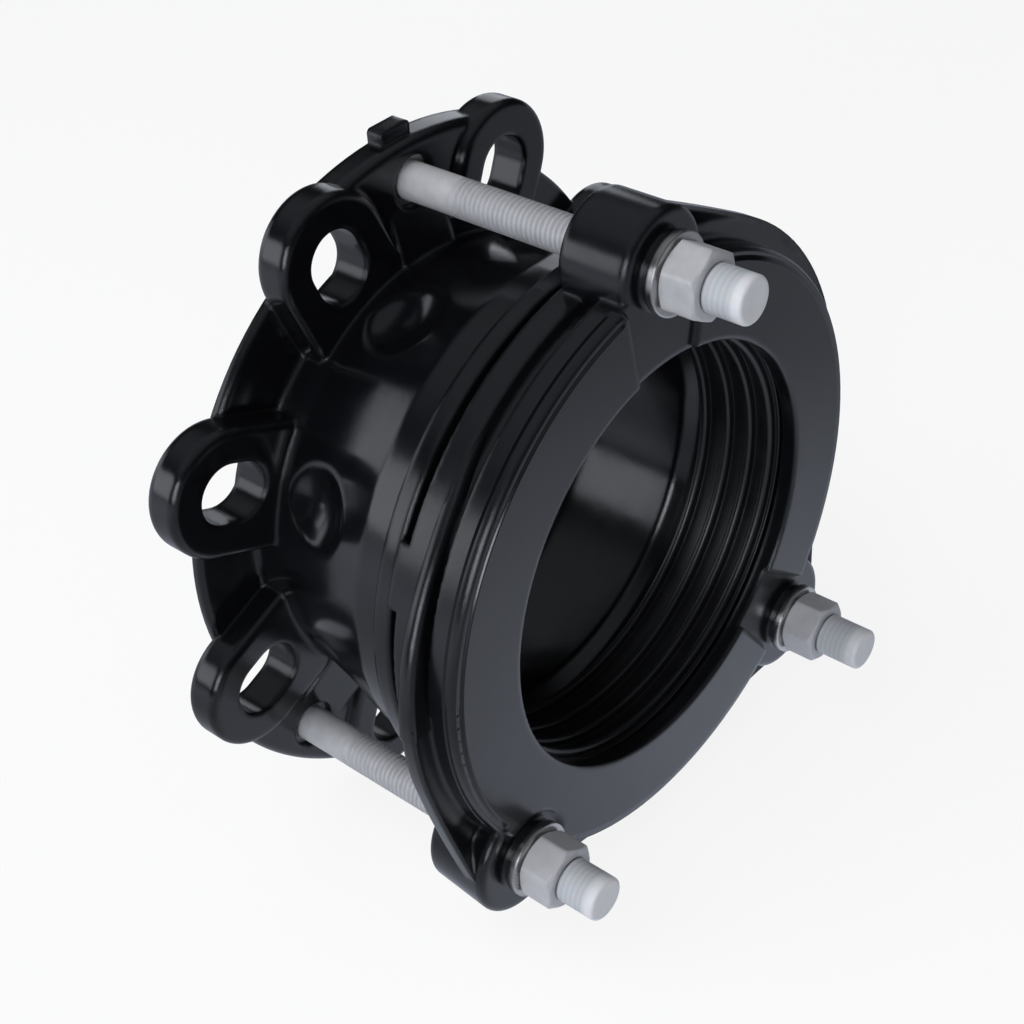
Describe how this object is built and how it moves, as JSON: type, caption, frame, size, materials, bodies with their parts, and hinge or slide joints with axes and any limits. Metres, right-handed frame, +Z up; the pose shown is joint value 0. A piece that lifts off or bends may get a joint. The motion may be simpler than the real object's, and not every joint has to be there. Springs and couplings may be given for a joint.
{
  "type": "flange adapter",
  "caption": "Coupling for plain-ended pipe: flange with slotted lugs, short barrel, and a lugged end ring that clamps a ribbed gasket with bolts.",
  "frame": {"origin": "centre of the flange's sealing face, on the pipe axis", "axes": "+X along the pipe axis from the flange towards the end ring, +Z up through the top clamp bolt"},
  "size_m": [0.1354, 0.217, 0.2232],
  "materials": {
    "body_coating": "smooth satin black coating on cast iron",
    "ring_coating": "satin black coating on cast iron",
    "rubber": "smooth moulded rubber",
    "zinc_steel": "dull light grey plated steel",
    "stainless_steel": "bright stamped steel",
    "clear_plastic": "frosted translucent polyethylene"
  },
  "bodies": {
    "flange": {"flange_body": "body_coating", "gasket": "rubber", "clamp_bolt_1": "zinc_steel", "clamp_bolt_2": "zinc_steel", "clamp_bolt_3": "zinc_steel"},
    "ring": {"end_ring": "ring_coating", "washer_1": "stainless_steel", "washer_2": "stainless_steel", "washer_3": "stainless_steel"},
    "nut_1": {"nut_1": "zinc_steel"},
    "nut_2": {"nut_2": "zinc_steel"},
    "nut_3": {"nut_3": "zinc_steel"},
    "cap_1": {"thread_cap_1": "clear_plastic"},
    "cap_2": {"thread_cap_2": "clear_plastic"},
    "cap_3": {"thread_cap_3": "clear_plastic"}
  },
  "joints": [
    {"name": "ring_slide", "type": "slide", "parent": "flange", "child": "ring", "axis": [1, 0, 0], "range_m": [-0.007, 0], "deforming": ["gasket"]},
    {"name": "nut_1_spin", "type": "hinge", "parent": "ring", "child": "nut_1", "pos_m": [0.1136, 0, 0.0973], "axis": [1, 0, 0], "range_deg": [-1440, 0]},
    {"name": "nut_2_spin", "type": "hinge", "parent": "ring", "child": "nut_2", "pos_m": [0.1136, 0.0688, -0.0688], "axis": [1, 0, 0], "range_deg": [-1440, 0]},
    {"name": "nut_3_spin", "type": "hinge", "parent": "ring", "child": "nut_3", "pos_m": [0.1136, -0.0688, -0.0688], "axis": [1, 0, 0], "range_deg": [-1440, 0]},
    {"name": "cap_1_pull", "type": "slide", "parent": "flange", "child": "cap_1", "axis": [1, 0, 0], "range_m": [0, 0.012]},
    {"name": "cap_2_pull", "type": "slide", "parent": "flange", "child": "cap_2", "axis": [1, 0, 0], "range_m": [0, 0.012]},
    {"name": "cap_3_pull", "type": "slide", "parent": "flange", "child": "cap_3", "axis": [1, 0, 0], "range_m": [0, 0.012]}
  ],
  "couplings": [
    {"joint": "nut_1_spin", "follows": "ring_slide", "rad_per_m": 3590.4},
    {"joint": "nut_2_spin", "follows": "ring_slide", "rad_per_m": 3590.4},
    {"joint": "nut_3_spin", "follows": "ring_slide", "rad_per_m": 3590.4}
  ]
}
